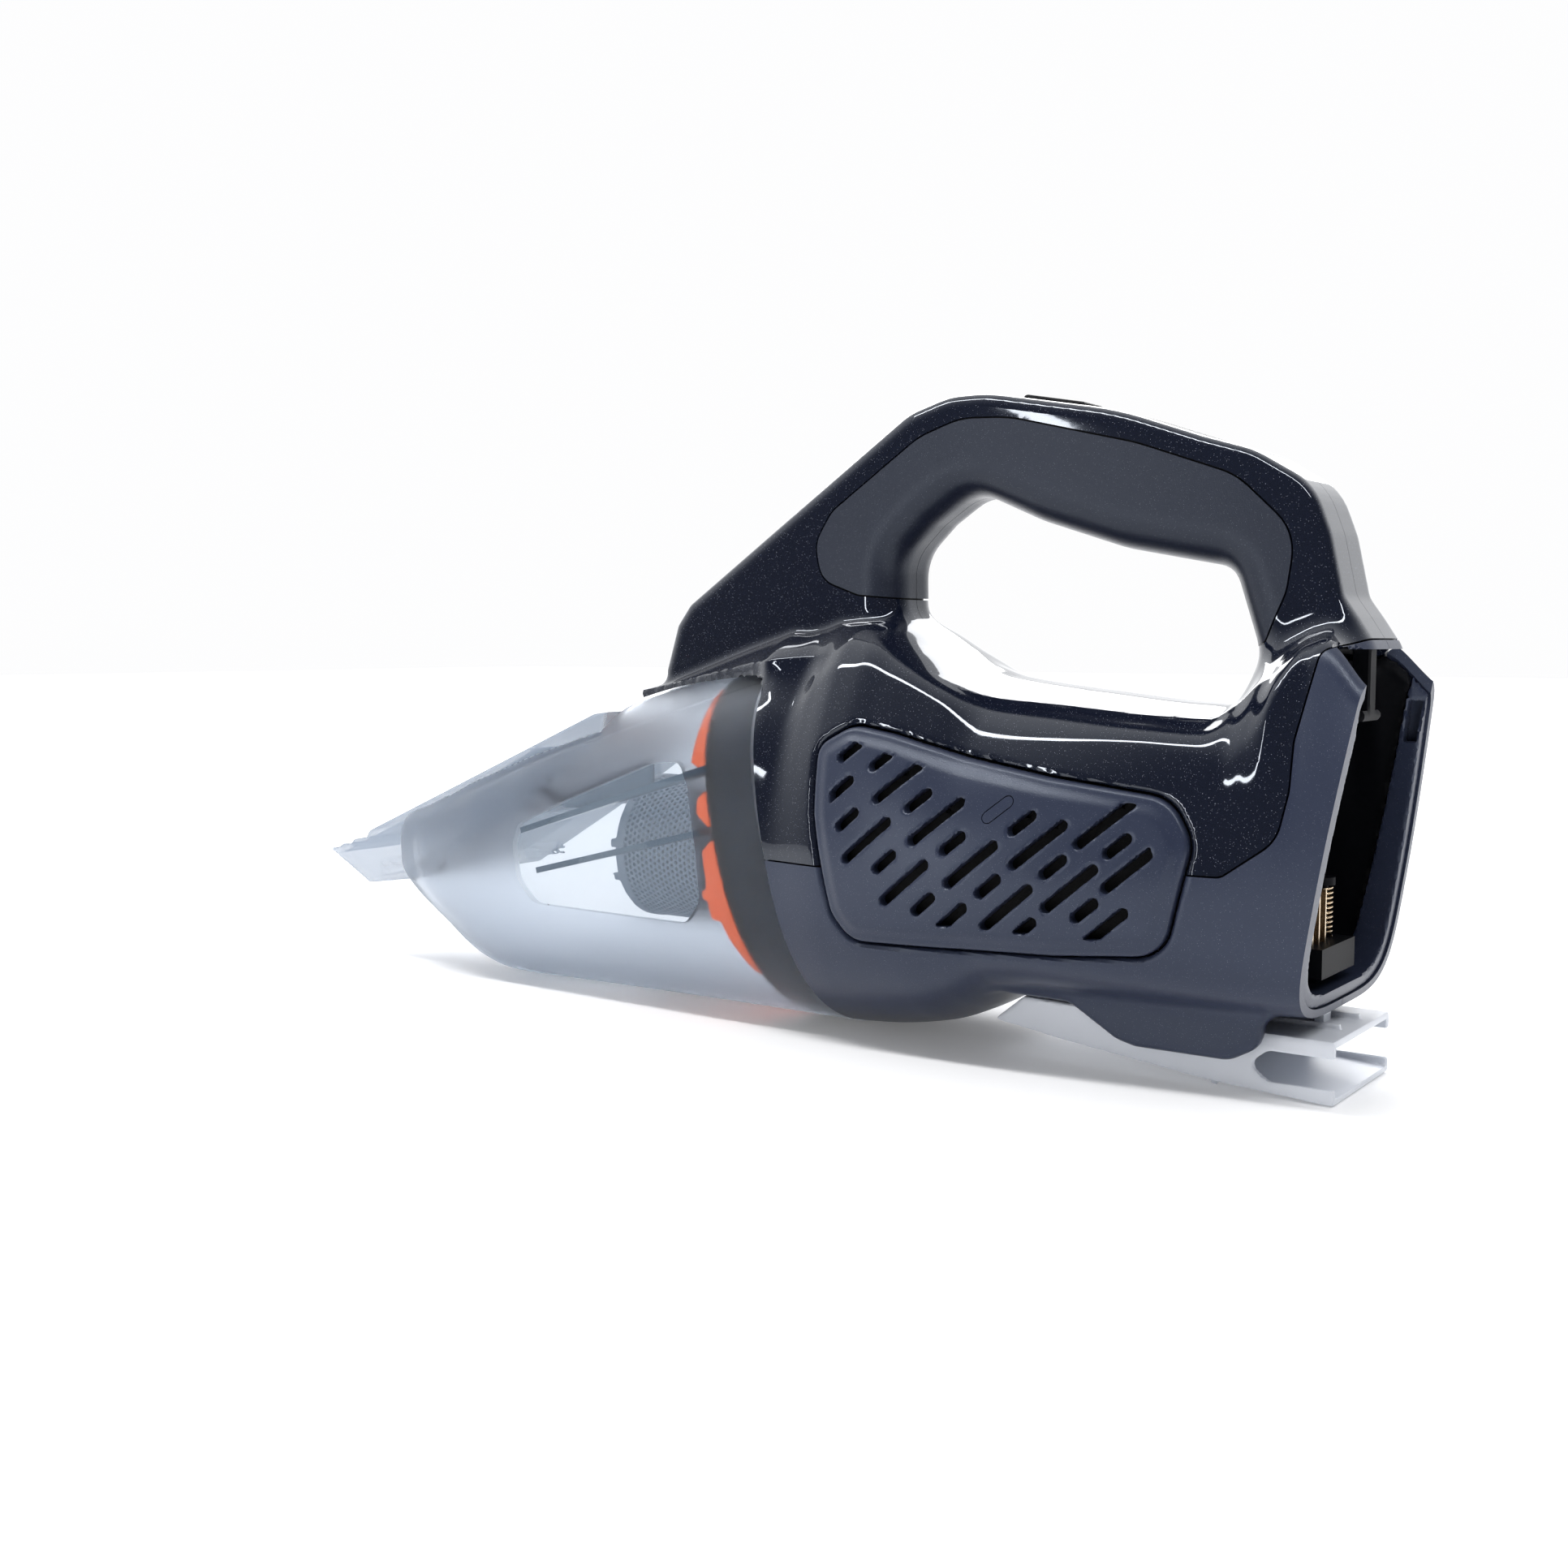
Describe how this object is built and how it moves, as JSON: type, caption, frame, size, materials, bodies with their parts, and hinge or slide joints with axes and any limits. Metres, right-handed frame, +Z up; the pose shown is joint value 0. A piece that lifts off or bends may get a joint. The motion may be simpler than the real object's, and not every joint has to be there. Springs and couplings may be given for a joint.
{
  "type": "handheld vacuum",
  "caption": "Cordless hand vacuum with a see-through dust bowl, looped handle, side vents, open battery bay and a crevice tool stowed underneath.",
  "frame": {"origin": "under the middle of the overall length and width, on the surface that the vacuum rests on", "axes": "+Z up; -X the way the nozzle points, +X the battery bay; -Y the vacuum's left side"},
  "size_m": [0.4342, 0.1184, 0.214],
  "materials": {
    "gloss_shell": "high gloss with fine metallic fleck",
    "matte_shell": "fine satin texture with fleck",
    "grip": "soft satin",
    "black_plastic": "satin",
    "switch_plastic": "satin",
    "contact_metal": "plated",
    "steel": "zinc plated",
    "motor_can": "plated",
    "rubber": "soft",
    "fan_plastic": "satin",
    "smoked_plastic": "frosted, see-through smoke tint with a clear window",
    "orange_plastic": "satin",
    "mesh_metal": "fine perforated mesh",
    "filter_media": "pleated",
    "tool_plastic": "satin"
  },
  "bodies": {
    "housing": {"upper_housing_left": "gloss_shell", "upper_housing_right": "gloss_shell", "lower_housing_left": "matte_shell", "lower_housing_right": "matte_shell", "grip_left": "grip", "grip_right": "grip", "handle_top_panel": "gloss_shell", "vent_panel_left": "matte_shell", "vent_panel_right": "matte_shell", "housing_screws": "steel", "battery_cradle": "black_plastic", "terminal_block": "black_plastic", "battery_terminals": "contact_metal", "eject_spring": "contact_metal", "switch_module": "black_plastic", "motor": "motor_can", "motor_mount_ring": "rubber", "fan_shroud": "black_plastic", "front_bulkhead": "black_plastic"},
    "bowl": {"dust_bowl": "smoked_plastic", "nozzle": "smoked_plastic"},
    "flap": {"intake_flap": "rubber"},
    "filter": {"filter_ring": "orange_plastic", "filter_gasket": "rubber", "mesh_prefilter": "mesh_metal", "pleated_filter": "filter_media"},
    "tool": {"crevice_tool": "tool_plastic"},
    "fan": {"fan_impeller": "fan_plastic", "motor_shaft": "steel"},
    "switch": {"power_switch": "switch_plastic"},
    "release": {"release_button": "switch_plastic", "release_spring": "steel"},
    "ejector": {"eject_plunger": "black_plastic"}
  },
  "joints": [
    {"name": "bowl_release", "type": "slide", "parent": "housing", "child": "bowl", "axis": [-0.9756, 0, -0.2195], "range_m": [0, 0.15]},
    {"name": "filter_pull", "type": "slide", "parent": "bowl", "child": "filter", "axis": [1, 0, 0], "range_m": [0, 0.075]},
    {"name": "flap_hinge", "type": "hinge", "parent": "bowl", "child": "flap", "pos_m": [-0.103, 0, 0.0828], "axis": [0, -1, 0], "range_deg": [0, 50], "stiffness_Nm_per_rad": 0.02},
    {"name": "tool_slide", "type": "slide", "parent": "housing", "child": "tool", "axis": [1, 0, 0], "range_m": [0, 0.13]},
    {"name": "fan_spin", "type": "hinge", "parent": "housing", "child": "fan", "pos_m": [0.086, 0, 0.064], "axis": [1, 0, 0], "continuous": true},
    {"name": "power_slide", "type": "slide", "parent": "housing", "child": "switch", "axis": [-0.9814, 0, 0.192], "range_m": [0, 0.006]},
    {"name": "release_press", "type": "slide", "parent": "housing", "child": "release", "axis": [1, 0, 0], "range_m": [0, 0.003], "stiffness_N_per_m": 1500},
    {"name": "eject_press", "type": "slide", "parent": "housing", "child": "ejector", "axis": [0, 0, -1], "range_m": [0, 0.005], "stiffness_N_per_m": 600, "deforming": ["eject_spring"]}
  ],
  "couplings": [
    {"joint": "filter_pull", "follows": "bowl_release", "ratio": 0.5}
  ]
}
